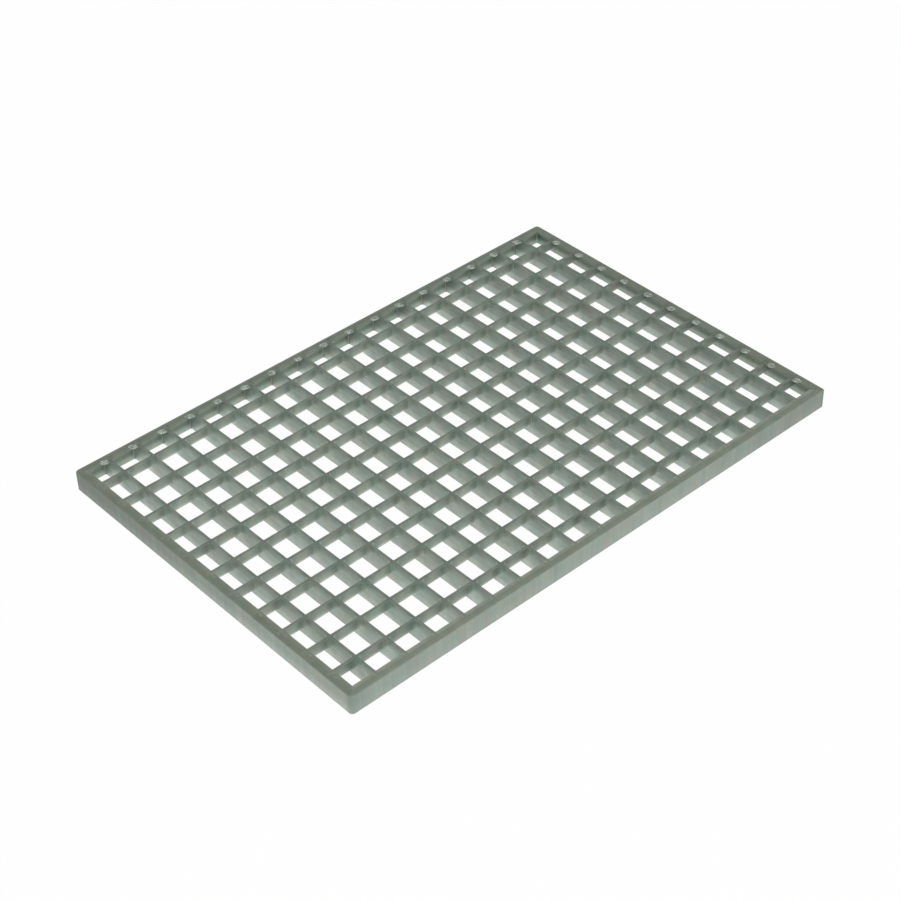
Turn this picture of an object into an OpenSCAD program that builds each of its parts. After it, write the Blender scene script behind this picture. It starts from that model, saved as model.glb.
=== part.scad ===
/* [Panel] */
// Outside length of the panel, along the cross bars
panel_length = 600; // [400:10:1000]
// Outside width of the panel, along the bearing bars
panel_width = 400; // [300:10:800]
// Number of cells along the length
cells_long = 18; // [10:1:30]
// Number of cells along the width
cells_wide = 12; // [8:1:24]

/* [Bars] */
// Thickness of every bar
bar_thickness = 3; // [1.5:0.5:4]
// Depth of the bearing bars, which is the height of the panel
bearing_depth = 22; // [20:1:40]
// Depth of the cross bars, let in from above
cross_depth = 10; // [6:1:14]

/* [Edge strip] */
// How far the edge strip's top lies below the tops of the bars
strip_drop = 1; // [0.5:0.5:3]
// Thickness of the edge strip's metal
strip_thickness = 2; // [1.5:0.5:3]
// Width of the strip's top leg, from the outside of the panel
leg_width = 10; // [7:0.5:12]
// Outside radius of the fold between the web and the top leg
fold_radius = 1.5; // [1:0.25:4]
// Outside radius of the three corners where the strip is bent
bend_radius = 4; // [3:0.5:12]
// Outside radius of the corner where the strip's ends meet and are welded
joint_radius = 2; // [2:0.5:6]
// Width of the mitred gap that the weld leaves in the top leg
mitre_gap = 0.6; // [0.2:0.1:1.5]

/* [Hidden] */

pitch_long = panel_length / cells_long;
pitch_wide = panel_width / cells_wide;
grid_length = panel_length - 2 * strip_thickness;
grid_width = panel_width - 2 * strip_thickness;
strip_height = bearing_depth - strip_drop;
least_inner_radius = 0.25;  // the fold is never quite sharp inside
inner_fold_radius = max(least_inner_radius, fold_radius - strip_thickness);
slot_depth = strip_thickness + inner_fold_radius;
fold_reach = max(fold_radius, slot_depth);  // inwards from the outside of the strip
overrun = 1;  // how far a cutting shape runs past the metal
corners = [
    [-panel_length / 2, -panel_width / 2],
    [panel_length / 2, -panel_width / 2],
    [panel_length / 2, panel_width / 2],
    [-panel_length / 2, panel_width / 2]
];
joint_corner = 1;
corner_radii = [for (k = [0 : 3]) k == joint_corner ? joint_radius : bend_radius];
zinc = [0.55, 0.59, 0.56];

function bearing_x(i) = -panel_length / 2 + i * pitch_long;
function cross_y(j) = -panel_width / 2 + j * pitch_wide;

module bearing_bars() {
    for (i = [1 : cells_long - 1])
        translate([bearing_x(i) - bar_thickness / 2, -grid_width / 2, 0])
            cube([bar_thickness, grid_width, bearing_depth]);
}

module cross_bars() {
    for (j = [1 : cells_wide - 1])
        translate([-grid_length / 2, cross_y(j) - bar_thickness / 2, bearing_depth - cross_depth])
            cube([grid_length, bar_thickness, cross_depth]);
}

// Bearing bars and cross bars, pressed together into one grid
module bar_grid() {
    color(zinc)
        union() {
            bearing_bars();
            cross_bars();
        }
}

// Section of the edge strip: the web stands at the outside (x = 0), the leg points inwards (+x)
module strip_section() {
    difference() {
        square([leg_width, strip_height]);
        translate([strip_thickness, -overrun])
            square([leg_width, strip_height - strip_thickness - inner_fold_radius + overrun]);
        translate([strip_thickness + inner_fold_radius, -overrun])
            square([leg_width, strip_height - strip_thickness + overrun]);
        translate([strip_thickness + inner_fold_radius,
                   strip_height - strip_thickness - inner_fold_radius])
            circle(r = inner_fold_radius, $fn = 32);
        // outside of the fold
        translate([0, strip_height - fold_radius])
            difference() {
                translate([-overrun, 0])
                    square([fold_radius + overrun, fold_radius + overrun]);
                translate([fold_radius, 0])
                    circle(r = fold_radius, $fn = 64);
            }
    }
}

// A straight run of the strip along +X, with its outside at y = 0 and its leg towards +y
module strip_run(length) {
    rotate([90, 0, 90])
        linear_extrude(height = length)
            strip_section();
}

// A quarter turn of the strip about the Z axis, with its outside at the given radius
module strip_bend(radius) {
    rotate([0, 0, 180])
        rotate_extrude(angle = 90, $fn = 96)
            intersection() {
                translate([radius, 0])
                    mirror([1, 0])
                        strip_section();
                square([radius, strip_height]);
            }
}

// One side of the frame and the corner before it, seen from that corner
module strip_side(length, radius_before, radius_after) {
    translate([radius_before, 0, 0])
        strip_run(length - radius_before - radius_after);
    translate([radius_before, radius_before, 0])
        strip_bend(radius_before);
}

module strip_ring() {
    for (k = [0 : 3])
        translate(corners[k])
            rotate([0, 0, 90 * k])
                strip_side(k % 2 == 0 ? panel_length : panel_width,
                           corner_radii[k], corner_radii[(k + 1) % 4]);
}

// Slots in the top leg that take the ends of the bars
module bar_slots() {
    for (i = [1 : cells_long - 1], side = [-1, 1])
        translate([bearing_x(i), side * (grid_width - leg_width) / 2, strip_height])
            cube([bar_thickness, leg_width, 2 * slot_depth], center = true);
    for (j = [1 : cells_wide - 1], side = [-1, 1])
        translate([side * (grid_length - leg_width) / 2, cross_y(j), strip_height])
            cube([leg_width, bar_thickness, 2 * slot_depth], center = true);
}

// Gap between the mitred ends of the top leg, open from the inside edge up to the fold
module mitre_slit() {
    translate([corners[joint_corner][0], corners[joint_corner][1], strip_height])
        rotate([0, 0, 135])
            translate([sqrt(2) * fold_reach, -mitre_gap / 2, -slot_depth])
                cube([sqrt(2) * leg_width, mitre_gap, 2 * slot_depth]);
}

// One folded strip bent round the grid, with its leg slotted over the bar ends
module edge_strip() {
    color(zinc)
        difference() {
            strip_ring();
            bar_slots();
            mitre_slit();
        }
}

bar_grid();
edge_strip();
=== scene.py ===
"""Looks of a galvanised pressed steel grating panel: rounded bars with zinc in their corners, a bent
edge strip, the weld tacks that hold the bar ends, and the zinc finish of each."""

import math
import random
from functools import cached_property

import bmesh
import bpy
from mathutils import Matrix, Vector

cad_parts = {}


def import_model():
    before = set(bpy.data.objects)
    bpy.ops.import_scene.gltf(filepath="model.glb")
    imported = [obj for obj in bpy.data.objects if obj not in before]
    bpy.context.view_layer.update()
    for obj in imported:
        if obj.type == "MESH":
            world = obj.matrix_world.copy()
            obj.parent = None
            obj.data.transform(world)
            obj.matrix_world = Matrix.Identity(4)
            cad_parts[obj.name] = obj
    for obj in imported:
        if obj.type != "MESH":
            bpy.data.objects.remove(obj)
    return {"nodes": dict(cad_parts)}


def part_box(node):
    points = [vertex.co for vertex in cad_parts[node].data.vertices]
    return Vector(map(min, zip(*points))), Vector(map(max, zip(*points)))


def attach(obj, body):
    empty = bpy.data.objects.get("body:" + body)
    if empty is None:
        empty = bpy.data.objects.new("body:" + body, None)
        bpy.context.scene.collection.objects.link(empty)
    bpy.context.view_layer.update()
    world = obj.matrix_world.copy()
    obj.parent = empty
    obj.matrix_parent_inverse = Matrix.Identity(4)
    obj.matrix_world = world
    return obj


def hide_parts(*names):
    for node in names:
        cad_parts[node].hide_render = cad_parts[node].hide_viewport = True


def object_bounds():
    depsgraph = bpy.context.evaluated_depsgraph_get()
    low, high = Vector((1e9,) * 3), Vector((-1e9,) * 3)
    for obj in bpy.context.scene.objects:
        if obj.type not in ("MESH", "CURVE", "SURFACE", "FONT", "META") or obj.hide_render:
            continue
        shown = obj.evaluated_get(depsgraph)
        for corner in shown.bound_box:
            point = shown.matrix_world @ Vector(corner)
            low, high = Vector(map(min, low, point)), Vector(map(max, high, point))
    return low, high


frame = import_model()
cad_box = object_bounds()

# ---------------------------------------------------------------- sizes, in metres
MM = 0.001
CELLS_LONG = 18
CELLS_WIDE = 12
BAR_THICKNESS = 3 * MM
CROSS_DEPTH = 10 * MM
STRIP_THICKNESS = 2 * MM
LEG_WIDTH = 10 * MM

panel_low, panel_high = cad_box
strip_low, strip_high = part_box("edge_strip")
grid_low, grid_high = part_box("bar_grid")

PANEL_LENGTH = panel_high.x - panel_low.x
PANEL_WIDTH = panel_high.y - panel_low.y
PITCH_LONG = PANEL_LENGTH / CELLS_LONG
PITCH_WIDE = PANEL_WIDTH / CELLS_WIDE
BAR_TOP = grid_high.z
LEG_TOP = strip_high.z
CROSS_BOTTOM = BAR_TOP - CROSS_DEPTH
BEARING_X = [panel_low.x + i * PITCH_LONG for i in range(1, CELLS_LONG)]
CROSS_Y = [panel_low.y + j * PITCH_WIDE for j in range(1, CELLS_WIDE)]

SAME_PLACE = 0.01 * MM  # nearer than this counts as the same place
DOUBLED = 0.001 * MM  # points of a solid nearer than this are one point
FLAT = math.radians(0.5)  # faces of a solid that turn by less than this are one face
SHARP = 1.0  # edges that turn by more than this, in radians, get rounded

BAR_ROUNDING = 0.3 * MM  # rounded edges of the bars
STRIP_ROUNDING = 0.3 * MM  # rounded free edges of the strip
ROUNDING_STEPS = 2
END_DROP = 0.75 * MM  # how far the top of a bar falls away over the leg, towards its end
SUNK = 0.3 * MM  # how far added zinc reaches into the metal under it

ZINC_FILLET = 1.1 * MM  # zinc that gathers in the corners of the cells
FILLET_STEPS = 3
FILLET_TOP = 0.35 * MM  # how far the fillets stay below the tops of the bars

RAMP_REACH = 1.7 * MM  # how far the zinc beside a bar spreads over the leg
RAMP_START = 1.2 * MM  # where it begins, measured from the outside of the panel
RAMP_STOP = 0.1 * MM  # how far it stays short of the leg's inner edge
RAMP_FRONT = 0.6  # zinc in front of a bar's end spreads this much as far
RAMP_PROFILE = ((1, 0), (0.45, 0.2), (0.15, 0.5), (0, 0.9))  # shares of the reach and of the step

# weld tacks, in millimetres, each drawn between two values
TACK_OFFSET = (4.6, 5.2)  # from the middle of the bar
TACK_SCATTER = (-0.4, 0.4)  # nearer to or farther from the outside
TACK_LONG_ALONG, TACK_LONG_INWARDS = (5.2, 5.8), (1.8, 3.0)  # the drop's longer half-axis
TACK_SHORT_INWARDS, TACK_SHORT_ALONG = (3.0, 3.5), (1.5, 2.1)  # and its shorter one
FAR_TACK = (1.0, 8.8, 1.1, 0.45)  # size, distance from the outside, half-height, depth of its middle
NEAR_TACK = (0.7, 7.2, 0.8, 0.6)
TACK_SEED = 7

# drops of the corner weld, in millimetres: inwards from the corner, sideways, and half their size
WELD_DROPS = ((3.8, -0.6, 2.0), (5.8, 0.5, 1.8), (7.6, -0.5, 1.3))
WELD_BREADTH = 1.25  # how much broader than long
WELD_HEIGHT = 0.8 * MM
WELD_DEPTH = 0.3 * MM
WELD_SEED = 11

DROP_WAVE = 0.05  # how far a drop of weld metal departs from an even egg shape, in two or three lobes
DROP_ROUGHNESS = 0.04  # and from point to point


# ---------------------------------------------------------------- mesh helpers
def new_piece(name, bm, material, smooth=False):
    """A finished piece from a bmesh, riding on the panel."""
    bmesh.ops.recalc_face_normals(bm, faces=bm.faces)
    mesh = bpy.data.meshes.new(name)
    bm.to_mesh(mesh)
    bm.free()
    mesh.polygons.foreach_set("use_smooth", [smooth] * len(mesh.polygons))
    piece = bpy.data.objects.new(name, mesh)
    bpy.context.scene.collection.objects.link(piece)
    mesh.materials.append(material)
    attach(piece, "root")
    return piece


def cut(bm, point, normal):
    """Cuts every face along a plane, without removing anything."""
    everything = bm.verts[:] + bm.edges[:] + bm.faces[:]
    bmesh.ops.bisect_plane(bm, geom=everything, dist=SAME_PLACE, plane_co=point, plane_no=normal)


def inset_of(point):
    """How far inwards a point lies from the outside of the panel."""
    return min(PANEL_LENGTH / 2 - abs(point.x), PANEL_WIDTH / 2 - abs(point.y))


def in_bars(value, centres):
    """True where a coordinate falls inside one of the bars."""
    return any(abs(value - centre) < BAR_THICKNESS / 2 for centre in centres)


def extrude_down(bm, faces, depth, keep=False):
    """Extrudes faces straight down and returns the new lower faces."""
    made = bmesh.ops.extrude_face_region(bm, geom=faces, use_keep_orig=keep)["geom"]
    verts = [g for g in made if isinstance(g, bmesh.types.BMVert)]
    bmesh.ops.translate(bm, vec=(0, 0, -depth), verts=verts)
    return [g for g in made if isinstance(g, bmesh.types.BMFace)]


def round_edges(bm, edges, radius):
    bmesh.ops.bevel(
        bm,
        geom=edges,
        offset=radius,
        offset_type="OFFSET",
        affect="EDGES",
        segments=ROUNDING_STEPS,
        profile=0.5,
        material=-1,
        clamp_overlap=True,
    )


def prism(bm, outline, low, high):
    """A closed prism: the same outline of points placed by two functions, one for each end."""
    near = [bm.verts.new(low(point)) for point in outline]
    far = [bm.verts.new(high(point)) for point in outline]
    bm.faces.new(near[::-1])
    bm.faces.new(far)
    for k in range(len(outline)):
        after = (k + 1) % len(outline)
        bm.faces.new((near[k], near[after], far[after], far[k]))


# ---------------------------------------------------------------- bars
def grid_plan(bm):
    """The bars seen from above: one flat sheet cut along every bar, with its cells taken out."""
    size = grid_high - grid_low
    centre = (grid_high + grid_low) / 2
    place = Matrix.Translation((centre.x, centre.y, BAR_TOP)) @ Matrix.Diagonal((size.x, size.y, 1, 1))
    bmesh.ops.create_grid(bm, x_segments=1, y_segments=1, size=0.5, matrix=place)
    for side in (-1, 1):
        for x in BEARING_X:
            cut(bm, (x + side * BAR_THICKNESS / 2, 0, 0), (1, 0, 0))
        for y in CROSS_Y:
            cut(bm, (0, y + side * BAR_THICKNESS / 2, 0), (0, 1, 0))
        cut(bm, (side * (PANEL_LENGTH / 2 - LEG_WIDTH), 0, 0), (1, 0, 0))
        cut(bm, (0, side * (PANEL_WIDTH / 2 - LEG_WIDTH), 0), (0, 1, 0))
    cells = []
    for face in bm.faces:
        middle = face.calc_center_median()
        if not in_bars(middle.x, BEARING_X) and not in_bars(middle.y, CROSS_Y):
            cells.append(face)
    bmesh.ops.delete(bm, geom=cells, context="FACES")


def grid_mesh():
    """Bearing bars and cross bars as one body, with all its edges a little rounded."""
    bm = bmesh.new()
    grid_plan(bm)
    lower = extrude_down(bm, bm.faces[:], CROSS_DEPTH, keep=True)
    bearing = [f for f in lower if in_bars(f.calc_center_median().x, BEARING_X)]
    extrude_down(bm, bearing, CROSS_BOTTOM - grid_low.z)
    for vert in bm.verts:
        if vert.co.z > BAR_TOP - MM and inset_of(vert.co) < LEG_WIDTH / 2:
            vert.co.z -= END_DROP
    bmesh.ops.recalc_face_normals(bm, faces=bm.faces)
    sharp = [e for e in bm.edges if len(e.link_faces) == 2 and e.calc_face_angle() > SHARP]
    round_edges(bm, sharp, BAR_ROUNDING)
    # the bearing bars run on below the cross bars, so nothing is left between their two halves
    inside = []
    for face in bm.faces:
        middle = face.calc_center_median()
        if abs(middle.z - CROSS_BOTTOM) < SAME_PLACE and in_bars(middle.x, BEARING_X):
            inside.append(face)
    bmesh.ops.delete(bm, geom=inside, context="FACES")
    return bm


def bar_ends():
    """Every place where a bar crosses the top leg: its centre at the outside, inwards and along."""
    ends = []
    for x in BEARING_X:
        ends.append((Vector((x, panel_low.y, 0)), Vector((0, 1, 0)), Vector((1, 0, 0))))
        ends.append((Vector((x, panel_high.y, 0)), Vector((0, -1, 0)), Vector((1, 0, 0))))
    for y in CROSS_Y:
        ends.append((Vector((panel_low.x, y, 0)), Vector((1, 0, 0)), Vector((0, 1, 0))))
        ends.append((Vector((panel_high.x, y, 0)), Vector((-1, 0, 0)), Vector((0, 1, 0))))
    return ends


# ---------------------------------------------------------------- edge strip
def strip_mesh():
    """The strip with its free edges rounded over by zinc: a merged copy of the solid."""
    bm = bmesh.new()
    bm.from_mesh(frame["nodes"]["edge_strip"].data)
    bmesh.ops.remove_doubles(bm, verts=bm.verts, dist=DOUBLED)
    bmesh.ops.dissolve_limit(
        bm, angle_limit=FLAT, use_dissolve_boundaries=False, verts=bm.verts, edges=bm.edges, delimit=set()
    )
    free = []
    for edge in bm.edges:
        if len(edge.link_faces) != 2 or edge.calc_face_angle() < SHARP:
            continue
        start, end = edge.verts[0].co, edge.verts[1].co
        if abs(start.z - end.z) > SAME_PLACE:
            continue
        middle = (start + end) / 2
        at_foot = middle.z < strip_low.z + SAME_PLACE
        at_leg_edge = abs(inset_of(middle) - LEG_WIDTH) < SAME_PLACE
        if at_foot or at_leg_edge:
            free.append(edge)
    round_edges(bm, free, STRIP_ROUNDING)
    return bm


# ---------------------------------------------------------------- gathered zinc
def fillets_mesh():
    """Zinc that has run together in the upright corners of the cells, hollow towards the cell: four at
    every crossing, and two where a bar's end meets the web of the strip."""
    bm = bmesh.new()
    outline = [(-SUNK, -SUNK), (ZINC_FILLET, -SUNK)]
    for k in range(FILLET_STEPS + 1):
        turn = math.pi / 2 * k / FILLET_STEPS
        outline.append((ZINC_FILLET * (1 - math.sin(turn)), ZINC_FILLET * (1 - math.cos(turn))))
    outline.append((-SUNK, ZINC_FILLET))

    def fillet(corner, first, second, low, high):
        def at(height):
            return lambda p: corner + first * p[0] + second * p[1] + Vector((0, 0, height))

        prism(bm, outline, at(low), at(high))

    for x in BEARING_X:
        for y in CROSS_Y:
            for side_x in (-1, 1):
                for side_y in (-1, 1):
                    first, second = Vector((side_x, 0, 0)), Vector((0, side_y, 0))
                    corner = Vector((x, y, 0)) + (first + second) * BAR_THICKNESS / 2
                    fillet(corner, first, second, CROSS_BOTTOM, BAR_TOP - FILLET_TOP)
    for outside, inwards, along in bar_ends():
        foot = CROSS_BOTTOM if inwards.x else grid_low.z
        for side in (-1, 1):
            corner = outside + inwards * STRIP_THICKNESS + along * side * BAR_THICKNESS / 2
            fillet(corner, along * side, inwards, foot, LEG_TOP - STRIP_THICKNESS + SUNK)
    return bm


def bar_step(inset):
    """How far a bar's top stands above the leg at this distance from the outside."""
    share = (LEG_WIDTH - inset) / (LEG_WIDTH - STRIP_THICKNESS)
    return BAR_TOP - LEG_TOP - END_DROP * share


def ramps_mesh():
    """Zinc that fills the step between the leg and the bars let into it."""
    bm = bmesh.new()
    below = -1  # stands for the points that lie sunk in the leg
    outline = [(-SUNK, below), (RAMP_REACH, below)]
    outline += [(RAMP_REACH * reach, share) for reach, share in RAMP_PROFILE]
    outline.append((-SUNK, RAMP_PROFILE[-1][1]))

    def height(share, inset):
        return Vector((0, 0, LEG_TOP + (-SUNK if share == below else share * bar_step(inset))))

    for outside, inwards, along in bar_ends():
        for side in (-1, 1):

            def beside(inset):
                def place(p):
                    across = along * side * (BAR_THICKNESS / 2 + p[0])
                    return outside + inwards * inset + across + height(p[1], inset)

                return place

            prism(bm, outline, beside(RAMP_START), beside(LEG_WIDTH - RAMP_STOP))

        def before(offset):
            def place(p):
                forward = inwards * (STRIP_THICKNESS - RAMP_FRONT * p[0])
                return outside + forward + along * offset + height(p[1], STRIP_THICKNESS)

            return place

        prism(bm, outline, before(-BAR_THICKNESS / 2), before(BAR_THICKNESS / 2))
    return bm


# ---------------------------------------------------------------- welds
def drop(bm, centre, axes, rng, rings=5, sides=12):
    """A small drop of weld metal: an uneven egg shape about its centre, with three half-axes."""
    lobes = rng.choice((2, 3))
    phase = rng.random() * math.tau
    rows = []
    for row in range(1, rings + 1):
        polar = math.pi * row / (rings + 1)
        verts = []
        for k in range(sides):
            turn = math.tau * k / sides
            swell = 1 + DROP_WAVE * math.sin(lobes * turn + phase)
            swell += rng.uniform(-DROP_ROUGHNESS, DROP_ROUGHNESS)
            around = (axes[0] * math.cos(turn) + axes[1] * math.sin(turn)) * math.sin(polar) * swell
            verts.append(bm.verts.new(centre + around + axes[2] * math.cos(polar)))
        rows.append(verts)
    top = bm.verts.new(centre + axes[2])
    bottom = bm.verts.new(centre - axes[2])
    for k in range(sides):
        after = (k + 1) % sides
        bm.faces.new((top, rows[0][k], rows[0][after]))
        bm.faces.new((bottom, rows[-1][after], rows[-1][k]))
        for upper, lower in zip(rows, rows[1:]):
            bm.faces.new((upper[k], lower[k], lower[after], upper[after]))


def tacks_mesh():
    """A weld tack beside every bar end, always on the same side of the bar: broad ones that lap over the
    leg's edge on the far sides, small flat ones on the near sides."""
    rng = random.Random(TACK_SEED)
    bm = bmesh.new()
    for outside, inwards, along in bar_ends():
        on_far_side = inwards.x + inwards.y < 0
        size, inset, height, depth = FAR_TACK if on_far_side else NEAR_TACK
        offset = -rng.uniform(*TACK_OFFSET)
        inset += rng.uniform(*TACK_SCATTER)
        centre = outside + (inwards * inset + along * offset) * MM
        centre.z = LEG_TOP - depth * MM
        long_way = along * rng.uniform(*TACK_LONG_ALONG) + inwards * rng.uniform(*TACK_LONG_INWARDS)
        short_way = inwards * rng.uniform(*TACK_SHORT_INWARDS) - along * rng.uniform(*TACK_SHORT_ALONG)
        drop(bm, centre, (long_way * size * MM, short_way * size * MM, Vector((0, 0, height * MM))), rng)
    return bm


def corner_weld_mesh():
    """The short weld that closes the mitre where the strip's two ends meet."""
    rng = random.Random(WELD_SEED)
    bm = bmesh.new()
    corner = Vector((panel_high.x, panel_low.y, LEG_TOP))
    inwards = Vector((-1, 1, 0)).normalized()
    across = Vector((1, 1, 0)).normalized()
    for reach, offset, size in WELD_DROPS:
        centre = corner + inwards * reach * MM + across * offset * MM - Vector((0, 0, WELD_DEPTH))
        axes = (across * WELD_BREADTH * size * MM, inwards * size * MM, Vector((0, 0, WELD_HEIGHT)))
        drop(bm, centre, axes, rng, rings=3, sides=10)
    return bm


# ---------------------------------------------------------------- node helpers
def add(tree, kind, inputs=None, **settings):
    """A node with its settings, and its inputs set or linked by name."""
    node = tree.nodes.new(kind)
    for key, value in settings.items():
        setattr(node, key, value)
    for key, value in (inputs or {}).items():
        give(tree, node.inputs[key], value)
    return node


def give(tree, socket, value):
    """Links a socket to another one, or sets it to a plain value."""
    if isinstance(value, bpy.types.NodeSocket):
        tree.links.new(value, socket)
    else:
        socket.default_value = value


def maths(tree, operation, first, second=0.0, clamp=False):
    node = add(tree, "ShaderNodeMath", {0: first, 1: second}, operation=operation, use_clamp=clamp)
    return node.outputs[0]


def product(tree, *values):
    """Several values multiplied together."""
    result = values[0]
    for value in values[1:]:
        result = maths(tree, "MULTIPLY", result, value)
    return result


def plus(tree, base, *parts):
    """A base, plus each tone times its strength."""
    result = base
    for tone, strength in parts:
        result = maths(tree, "ADD", result, maths(tree, "MULTIPLY", tone, strength))
    return result


def fade(tree, value, start, end, low=0.0, high=1.0):
    """Goes softly from low at start to high at end."""
    spread = {"Value": value, "From Min": start, "From Max": end, "To Min": low, "To Max": high}
    return add(tree, "ShaderNodeMapRange", spread, interpolation_type="SMOOTHSTEP").outputs["Result"]


def blend(tree, share, first, second, mode="MIX"):
    """Mixes two colours by a share."""
    node = add(tree, "ShaderNodeMix", data_type="RGBA", blend_type=mode)
    for key, value in (("Factor_Float", share), ("A_Color", first), ("B_Color", second)):
        give(tree, next(s for s in node.inputs if s.identifier == key), value)
    return next(s for s in node.outputs if s.identifier == "Result_Color")


def tinted(tree, colour, tint):
    """A colour multiplied by another one."""
    return blend(tree, 1.0, colour, tint, "MULTIPLY")


def lighten(tree, colour, amount):
    """Multiplies a colour by a plain number or a value."""
    if not isinstance(colour, bpy.types.NodeSocket):
        colour = colour[:3]
    return add(tree, "ShaderNodeVectorMath", {0: colour, "Scale": amount}, operation="SCALE").outputs[0]


def new_group(name, inputs, outputs):
    """An empty node group with named sockets; returns the tree, its inputs and the sockets it puts out."""
    group = bpy.data.node_groups.new(name, "ShaderNodeTree")
    for way, sockets in (("INPUT", inputs), ("OUTPUT", outputs)):
        for socket, kind in sockets.items():
            group.interface.new_socket(name=socket, in_out=way, socket_type="NodeSocket" + kind)
    given = group.nodes.new("NodeGroupInput")
    result = group.nodes.new("NodeGroupOutput")
    return group, given.outputs, result.inputs


def use_group(tree, group, inputs):
    return add(tree, "ShaderNodeGroup", inputs, node_tree=group).outputs


def patches_group():
    """Soft patches: a tone around zero, wider or narrower along each axis."""
    inputs = {"Position": "Vector", "Size": "Vector", "Detail": "Float"}
    group, given, result = new_group("soft_patches", inputs, {"Tone": "Float"})
    sizes = {0: given["Position"], 1: given["Size"]}
    scaled = add(group, "ShaderNodeVectorMath", sizes, operation="DIVIDE").outputs[0]
    noise_inputs = {"Vector": scaled, "Scale": 1.0, "Detail": given["Detail"], "Roughness": 0.55}
    noise = add(group, "ShaderNodeTexNoise", noise_inputs).outputs[0]
    tone = maths(group, "MULTIPLY", maths(group, "SUBTRACT", noise, 0.5), 2.0)
    group.links.new(tone, result["Tone"])
    return group


def place_group():
    """Where a point lies on the panel: how far inwards from the outside, on which sides, how high as a
    share of the bars' depth, how far from a crossing and from a corner, and how far past the nearest bar."""
    names = ("Inset", "On long sides", "On far sides", "Height", "From crossing", "From corner", "Past a bar")
    outputs = dict.fromkeys(names, "Float")
    group, given, result = new_group("place_on_panel", {"Position": "Vector"}, outputs)
    axes = add(group, "ShaderNodeSeparateXYZ", {0: given["Position"]}).outputs
    from_ends = maths(group, "SUBTRACT", PANEL_LENGTH / 2, maths(group, "ABSOLUTE", axes["X"]))
    from_sides = maths(group, "SUBTRACT", PANEL_WIDTH / 2, maths(group, "ABSOLUTE", axes["Y"]))
    on_long = fade(group, maths(group, "SUBTRACT", from_ends, from_sides), -2 * MM, 2 * MM)
    on_short = maths(group, "SUBTRACT", 1.0, on_long)
    far_end = product(group, maths(group, "GREATER_THAN", axes["X"]), on_short)
    far_side = product(group, maths(group, "GREATER_THAN", axes["Y"]), on_long)
    # bars lie at whole pitches from the middle of the panel
    gaps, past = [], []
    for name, pitch in (("X", PITCH_LONG), ("Y", PITCH_WIDE)):
        gaps.append(maths(group, "PINGPONG", axes[name], pitch / 2))
        wrap = {0: axes[name], 1: pitch / 2, 2: -pitch / 2}
        past.append(add(group, "ShaderNodeMath", wrap, operation="WRAP").outputs[0])
    found = {
        "Inset": maths(group, "MINIMUM", from_ends, from_sides),
        "On long sides": on_long,
        "On far sides": maths(group, "ADD", far_end, far_side),
        "Height": maths(group, "DIVIDE", axes["Z"], BAR_TOP),
        "From crossing": maths(group, "MAXIMUM", *gaps),
        "From corner": maths(group, "MAXIMUM", from_ends, from_sides),
        "Past a bar": plus(group, product(group, past[1], on_short), (past[0], on_long)),
    }
    for name, value in found.items():
        group.links.new(value, result[name])
    return group


def grain_group():
    """Fine zinc grain as a bumped normal."""
    group, given, result = new_group("zinc_grain", {"Position": "Vector"}, {"Normal": "Vector"})
    peel = add(group, "ShaderNodeTexNoise", {"Vector": given["Position"], "Scale": 350.0, "Detail": 3.0})
    bump_inputs = {"Height": peel.outputs[0], "Strength": 0.35, "Distance": 0.25 * MM}
    group.links.new(add(group, "ShaderNodeBump", bump_inputs).outputs["Normal"], result["Normal"])
    return group


# ---------------------------------------------------------------- colours
def shown(red, green, blue):
    """A colour written the way a screen shows it, 0 to 255."""
    linear = []
    for value in (red, green, blue):
        value /= 255
        linear.append(value / 12.92 if value <= 0.04045 else ((value + 0.055) / 1.055) ** 2.4)
    return (*linear, 1)


# the bars' faces run from the pale foot colour to the darker top one: painted light from below and painted
# shade above
FACE_LIT_FOOT = shown(190, 199, 192)
FACE_SHADED_TOP = shown(152, 163, 154)
BAR_TOP_COLOUR = shown(152, 161, 152)
LEG_OUTER = shown(150, 160, 146)
LEG_INNER = shown(163, 171, 157)
WEB_GREEN = shown(178, 189, 179)
WEB_BLUE = shown(180, 188, 182)
# the far tacks are drawn in these pale colours, a painted sheen; the near ones take the leg's colour
TACK_SHEEN_DIM = shown(156, 169, 159)
TACK_SHEEN_PALE = shown(212, 222, 212)
WELD_BROWN = shown(166, 166, 150)
WELD_DARK = shown(138, 137, 122)
# these multiply another colour or tone
WEB_INSIDE = (0.84, 1.0, 0.85, 1)
BEND_TINT = (0.82, 0.90, 0.86, 1)
COOL_PATCH = (0.94, 1.0, 0.99, 1)
WARM_PATCH = (1.05, 1.0, 0.97, 1)
CROSS_TINT = (1.0, 0.97, 0.965, 1)
CROSSING_SHADE_TINT = (0.96, 1.0, 0.985, 1)


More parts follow.
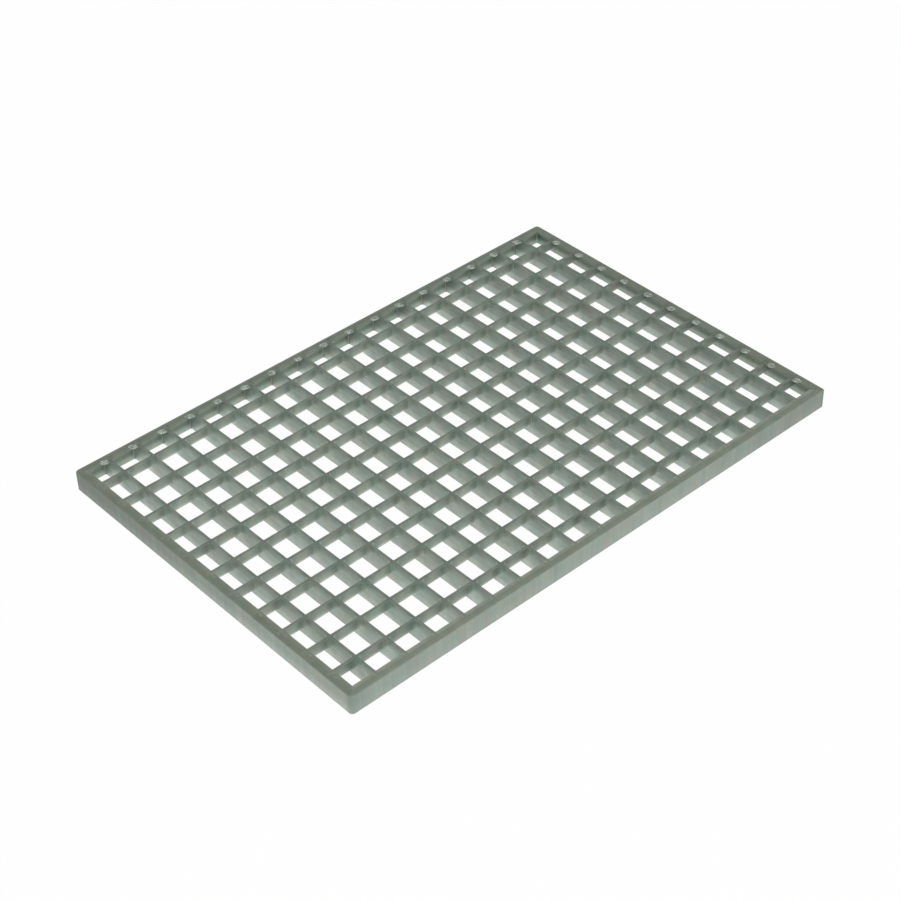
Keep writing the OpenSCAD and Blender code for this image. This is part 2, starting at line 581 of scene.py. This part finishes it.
# ---------------------------------------------------------------- materials
class Finish:
    """A new dull metal, with what its colour is built from, made when it is first asked for."""

    def __init__(self, name):
        self.material = bpy.data.materials.new(name)
        self.material.use_nodes = True
        self.tree = self.material.node_tree
        self.shader = self.tree.nodes["Principled BSDF"]
        self.shader.inputs["Metallic"].default_value = 0.9
        self.shader.inputs["Roughness"].default_value = 0.6
        self.coords = add(self.tree, "ShaderNodeTexCoord").outputs
        self.position = self.coords["Object"]

    @cached_property
    def axes(self):
        return add(self.tree, "ShaderNodeSeparateXYZ", {0: self.position}).outputs

    @cached_property
    def normal(self):
        return add(self.tree, "ShaderNodeSeparateXYZ", {0: self.coords["Normal"]}).outputs

    @cached_property
    def spot(self):
        return use_group(self.tree, place_on_panel, {"Position": self.position})

    def patches(self, size, detail=2.0):
        """Soft patches of this size along each axis, in millimetres."""
        inputs = {"Position": self.position, "Size": [length * MM for length in size], "Detail": detail}
        return use_group(self.tree, soft_patches, inputs)["Tone"]

    def mottled(self, colour, size):
        """Tints a colour in patches, a little warmer here and a little cooler there."""
        share = fade(self.tree, self.patches(size), -0.35, 0.35)
        return tinted(self.tree, colour, blend(self.tree, share, COOL_PATCH, WARM_PATCH))

    def done(self, colour):
        grain = use_group(self.tree, zinc_grain, {"Position": self.position})
        self.tree.links.new(colour, self.shader.inputs["Base Color"])
        self.tree.links.new(grain["Normal"], self.shader.inputs["Normal"])
        return self.material


def bar_faces(bars):
    """Faces of the bars, with painted light and shade: pale at the foot and darker towards the top, and
    shaded in the corners where the bars meet.
    """
    tree, spot, axes = bars.tree, bars.spot, bars.axes
    height, inset, from_crossing = spot["Height"], spot["Inset"], spot["From crossing"]
    side = blend(tree, fade(tree, height, 0.1, 1.0), FACE_LIT_FOOT, FACE_SHADED_TOP)
    wide, runs = bars.patches((20, 20, 12)), bars.patches((4, 4, 30))
    side = lighten(tree, side, plus(tree, 1.0, (wide, 0.3), (runs, 0.05)))

    # painted shade in the corners where the bars cross and where they meet the web, with a painted highlight
    # a little way out from each crossing
    corner_shade = fade(tree, from_crossing, 3.2 * MM, 2 * MM)
    above_foot = fade(tree, height, 0.5, 0.62)
    by_corner = fade(tree, from_crossing, 6 * MM, 3 * MM)
    corner_highlight = fade(tree, height, 0.5, 0.7, 0.04, 0.28)
    corner = product(
        tree,
        plus(tree, 1.0, (product(tree, corner_shade, above_foot), -0.24)),
        fade(tree, inset, 3 * MM, 3.6 * MM, 0.52, 1.0),  # shade where the bars meet the web
        plus(tree, 1.0, (by_corner, corner_highlight)),
    )

    # bearing bars, painted light and shade: darker towards +X, where their feet and heads stay paler, and
    # pale in the outer rows, where light falls past the leg's shade
    at_far_end = fade(tree, axes["X"], -0.2, 0.2)
    far_foot = product(tree, at_far_end, fade(tree, height, 0.5, 0.3))
    far_head = product(tree, at_far_end, fade(tree, height, 0.7, 0.9))
    below_leg = maths(tree, "SUBTRACT", height, maths(tree, "DIVIDE", inset, BAR_TOP))
    near_row = fade(tree, axes["Y"], -0.16, -0.17, 0.0, 0.3)
    outer_row = maths(tree, "ADD", fade(tree, axes["Y"], 0.167, 0.176), near_row)
    in_light = product(tree, outer_row, fade(tree, below_leg, 0.0, -0.4))
    bearing = product(
        tree,
        corner,
        fade(tree, axes["X"], -0.3, 0.3, 1.14, 0.82),
        fade(tree, height, 0.4, 0.64, 0.84, 1.0),
        plus(tree, 1.0, (far_foot, 0.3), (far_head, 0.14)),
        plus(tree, 1.0, (in_light, 0.32)),
    )

    # cross bars, painted light and shade: pale along the lower edge and in the middle of each cell, and in
    # painted shade from the far leg
    cross = product(
        tree,
        corner,
        fade(tree, from_crossing, 6 * MM, 14 * MM, 1.06, 1.26),
        fade(tree, height, 0.56, 0.66, 1.35, 1.0),
        fade(tree, axes["X"], 0.271, 0.279, 1.0, 0.75),
    )
    is_cross = fade(tree, maths(tree, "ABSOLUTE", bars.normal["Y"]), 0.5, 0.8)
    warm = tinted(tree, side, CROSS_TINT)
    return blend(tree, is_cross, lighten(tree, side, bearing), lighten(tree, warm, cross))


def bar_tops(bars):
    """Tops of the bars: paler between the crossings, darker beside the far legs, and over the far legs in
    painted shade where each bar is let into the leg.
    """
    tree, spot = bars.tree, bars.spot
    inset, on_far = spot["Inset"], spot["On far sides"]
    top = lighten(tree, BAR_TOP_COLOUR, plus(tree, 1.0, (bars.patches((8, 8, 8), 3.0), 0.25)))
    top = lighten(tree, top, fade(tree, spot["From crossing"], 3 * MM, 14 * MM, 0.95, 1.08))
    by_far_leg = product(tree, on_far, fade(tree, inset, 22 * MM, 12 * MM))
    top = lighten(tree, top, plus(tree, 1.0, (by_far_leg, -0.26)))
    # over the far legs the bar ends are drawn dark: painted shade of the slot each bar is let into
    far_end = lighten(tree, LEG_OUTER, plus(tree, 0.78, (spot["On long sides"], 0.15)))
    over_leg = blend(tree, on_far, lighten(tree, LEG_OUTER, 1.12), far_end)
    return blend(tree, fade(tree, inset, 10.5 * MM, 9.5 * MM), top, over_leg)


def bar_material():
    bars = Finish("bar_zinc_dull")
    tree, spot = bars.tree, bars.spot
    colour = blend(tree, fade(tree, bars.normal["Z"], 0.45, 0.75), bar_faces(bars), bar_tops(bars))
    # painted shade: a cooler tint near the tops of the corners at each crossing
    crossing_shade = product(
        tree,
        fade(tree, spot["From crossing"], 14 * MM, 3 * MM),
        fade(tree, spot["Height"], 0.6, 0.85),
        fade(tree, spot["Inset"], 10 * MM, 12 * MM),
    )
    colour = blend(tree, crossing_shade, colour, tinted(tree, colour, CROSSING_SHADE_TINT))
    return bars.done(bars.mottled(colour, (16, 16, 16)))


def strip_web(strip):
    """Web of the strip: bluish at the foot and greener above outside, with painted shade higher up and
    towards the back; inside, painted shade under the leg that pales towards the foot.
    """
    tree, spot, axes = strip.tree, strip.spot, strip.axes
    height, on_long = spot["Height"], spot["On long sides"]
    wide, runs = strip.patches((20, 20, 60)), strip.patches((3.5, 3.5, 80))
    streaks = plus(tree, 1.0, (wide, 0.12), (runs, 0.16))

    rise = fade(tree, height, 0.1, 0.6)
    greener = maths(tree, "ADD", rise, maths(tree, "MULTIPLY", wide, 0.8), clamp=True)
    web = blend(tree, greener, WEB_BLUE, WEB_GREEN)
    # painted shade on the outside of the web: darker higher up, and darker towards the back of the panel
    ends_shade = product(tree, fade(tree, axes["Y"], -0.15, 0.2, 1.0, 0.62), plus(tree, 1.0, (rise, -0.2)))
    sides_shade = product(tree, fade(tree, axes["X"], 0.05, 0.3, 0.9, 0.74), plus(tree, 1.0, (rise, -0.07)))
    web = blend(tree, on_long, lighten(tree, web, ends_shade), lighten(tree, web, sides_shade))
    web = lighten(tree, web, streaks)
    at_bend = fade(tree, spot["From corner"], 8 * MM, 2.5 * MM)
    web = blend(tree, at_bend, web, tinted(tree, web, BEND_TINT))

    # inside the web: painted light at the foot and painted shade under the leg
    foot_light = fade(tree, height, 0.12, 0.40, 0.45, 0.225)
    leg_light = fade(tree, height, 0.42, 0.64, 0.0, 0.09)
    shade = plus(tree, maths(tree, "ADD", foot_light, leg_light), (on_long, 0.08))
    inside = lighten(tree, WEB_INSIDE, product(tree, streaks, shade))
    return blend(tree, fade(tree, spot["Inset"], 1 * MM, 1.4 * MM), web, inside)


def strip_leg(strip):
    """Top leg: warm grey-green, lighter on the near long side, with a thin line drawn along the long sides
    and painted shade just past each bar on the far sides."""
    tree, spot = strip.tree, strip.spot
    inset, past_a_bar = spot["Inset"], spot["Past a bar"]
    on_long, on_far = spot["On long sides"], spot["On far sides"]
    far_inner = lighten(tree, LEG_OUTER, plus(tree, 1.0, (on_long, 0.1)))
    near_inner = lighten(tree, LEG_INNER, plus(tree, 0.96, (on_long, 0.08)))
    inner = blend(tree, on_far, near_inner, far_inner)
    leg = blend(tree, fade(tree, inset, 4 * MM, 9 * MM), LEG_OUTER, inner)
    fine = strip.patches((12, 12, 12), 3.0)
    on_near_long = product(tree, on_long, maths(tree, "SUBTRACT", 1.0, on_far))
    line = product(tree, fade(tree, inset, 4.2 * MM, 5 * MM), fade(tree, inset, 6 * MM, 5.2 * MM), on_long)
    # painted shade on the far legs just past each bar, where the bar stands above the leg
    shade_past_bar = product(
        tree,
        on_far,
        fade(tree, past_a_bar, 0.8 * MM, 1.8 * MM),
        fade(tree, past_a_bar, 6 * MM, 2.5 * MM),
        fade(tree, inset, 3 * MM, 5 * MM),
    )
    tone = plus(tree, 1.0, (fine, 0.2), (on_near_long, 0.16), (line, -0.14), (shade_past_bar, -0.2))
    return lighten(tree, leg, tone)


def strip_material():
    strip = Finish("strip_zinc_light")
    # the upright web is drawn paler than the top leg: partly their own colours, partly painted light on the
    # upright faces
    on_top = fade(strip.tree, strip.normal["Z"], 0.3, 0.6)
    colour = blend(strip.tree, on_top, strip_web(strip), strip_leg(strip))
    return strip.done(strip.mottled(colour, (13, 13, 20)))


def tack_material():
    """Tacks: drawn bright on the far sides, a painted sheen, and as dull as the leg on the near ones."""
    tacks = Finish("tack_zinc_painted_sheen")
    tree = tacks.tree
    fine = tacks.patches((3, 3, 3))
    far_sheen = blend(tree, fade(tree, fine, -0.3, 0.3), TACK_SHEEN_DIM, TACK_SHEEN_PALE)
    dull = lighten(tree, LEG_INNER, plus(tree, 1.02, (fine, 0.3)))
    tacks.shader.inputs["Roughness"].default_value = 0.5
    return tacks.done(blend(tree, tacks.spot["On far sides"], dull, far_sheen))


def weld_material():
    weld = Finish("corner_weld_brown")
    fine = weld.patches((1.5, 1.5, 1.5))
    return weld.done(blend(weld.tree, fade(weld.tree, fine, -0.3, 0.3), WELD_DARK, WELD_BROWN))


# ---------------------------------------------------------------- studio
FLOOR_REACH = 30
FLOOR_GREY = (0.85, 0.85, 0.85, 1)
FLOOR_GLOW = 0.98  # how white the floor looks, without giving the panel any more light
# greys of the sky, from the height where each begins
HORIZON, MIDDLE, OVERHEAD = (0.25, 1.0), (0.5, 0.45), (0.85, 0.4)
LAMP_PLACE = (-0.6, -0.7, 2.4)
LAMP_SIZE = 1.6
LAMP_WATTS = 15

CAMERA_AZIMUTH = math.radians(-41.344)
CAMERA_ELEVATION = math.radians(39.335)
CAMERA_ROLL = math.radians(-1.41)
CAMERA_DISTANCE = 1.9858
CAMERA_TARGET = Vector((-8.46 * MM, 0.66 * MM, 0))
CAMERA_LENS = 83.27  # millimetres, on a sensor 36 mm wide


def floor():
    bm = bmesh.new()
    bmesh.ops.create_grid(bm, x_segments=1, y_segments=1, size=FLOOR_REACH)
    mesh = bpy.data.meshes.new("floor")
    bm.to_mesh(mesh)
    bm.free()
    plane = bpy.data.objects.new("floor", mesh)
    bpy.context.scene.collection.objects.link(plane)
    material = bpy.data.materials.new("white_floor")
    material.use_nodes = True
    material.cycles.emission_sampling = "NONE"
    tree = material.node_tree
    shader = tree.nodes["Principled BSDF"]
    shader.inputs["Base Color"].default_value = FLOOR_GREY
    shader.inputs["Roughness"].default_value = 0.9
    shader.inputs["Specular IOR Level"].default_value = 0
    glow = add(tree, "ShaderNodeEmission", {"Strength": 1.0})
    path = add(tree, "ShaderNodeLightPath").outputs
    seen = maths(tree, "MAXIMUM", path["Is Camera Ray"], path["Is Glossy Ray"])
    seen = maths(tree, "MAXIMUM", seen, path["Is Transmission Ray"])
    mix = add(tree, "ShaderNodeMixShader", {0: maths(tree, "MULTIPLY", seen, FLOOR_GLOW)})
    tree.links.new(shader.outputs["BSDF"], mix.inputs[1])
    tree.links.new(glow.outputs["Emission"], mix.inputs[2])
    tree.links.new(mix.outputs["Shader"], tree.nodes["Material Output"].inputs["Surface"])
    mesh.materials.append(material)


def world():
    """White all round near the horizon, grey overhead."""
    sky = bpy.data.worlds.new("studio")
    bpy.context.scene.world = sky
    sky.use_nodes = True
    tree = sky.node_tree
    coords = add(tree, "ShaderNodeTexCoord")
    split = add(tree, "ShaderNodeSeparateXYZ", {0: coords.outputs["Generated"]})
    ramp = add(tree, "ShaderNodeValToRGB", {"Fac": split.outputs["Z"]})
    levels = ramp.color_ramp.elements
    levels[0].position, levels[1].position = HORIZON[0], OVERHEAD[0]
    levels.new(MIDDLE[0])
    for level, (height, grey) in zip(levels, (HORIZON, MIDDLE, OVERHEAD)):
        level.color = (grey, grey, grey, 1)
    tree.links.new(ramp.outputs["Color"], tree.nodes["Background"].inputs["Color"])


def soft_lamp():
    light = bpy.data.lights.new("key", "AREA")
    light.shape = "SQUARE"
    light.size = LAMP_SIZE
    light.energy = LAMP_WATTS
    lamp = bpy.data.objects.new("key", light)
    bpy.context.scene.collection.objects.link(lamp)
    lamp.location = LAMP_PLACE
    lamp.rotation_euler = (-Vector(LAMP_PLACE)).to_track_quat("-Z", "Y").to_euler()


def camera():
    """A long lens looking down across the panel from its front corner."""
    flat = math.cos(CAMERA_ELEVATION)
    towards = Vector(
        (math.sin(CAMERA_AZIMUTH) * flat, -math.cos(CAMERA_AZIMUTH) * flat, math.sin(CAMERA_ELEVATION))
    )
    data = bpy.data.cameras.new("camera")
    data.lens = CAMERA_LENS
    data.sensor_width = 36
    data.clip_start = 0.01
    data.clip_end = 200
    eye = bpy.data.objects.new("camera", data)
    bpy.context.scene.collection.objects.link(eye)
    turn = towards.to_track_quat("Z", "Y").to_matrix().to_4x4() @ Matrix.Rotation(CAMERA_ROLL, 4, "Z")
    eye.matrix_world = Matrix.Translation(CAMERA_TARGET + towards * CAMERA_DISTANCE) @ turn
    bpy.context.scene.camera = eye


# ---------------------------------------------------------------- the scene
bpy.context.scene.view_settings.view_transform = "Standard"
camera()
floor()
world()
soft_lamp()

soft_patches, place_on_panel, zinc_grain = patches_group(), place_group(), grain_group()
bar_zinc, strip_zinc = bar_material(), strip_material()
tack_zinc, weld_brown = tack_material(), weld_material()

bars = new_piece("rounded_bar_grid", grid_mesh(), bar_zinc)
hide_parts("bar_grid")
strip = new_piece("rounded_edge_strip", strip_mesh(), strip_zinc)
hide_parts("edge_strip")
new_piece("zinc_fillets", fillets_mesh(), bar_zinc)
new_piece("zinc_ramps", ramps_mesh(), strip_zinc)
new_piece("weld_tacks", tacks_mesh(), tack_zinc, smooth=True)
new_piece("corner_weld", corner_weld_mesh(), weld_brown, smooth=True)
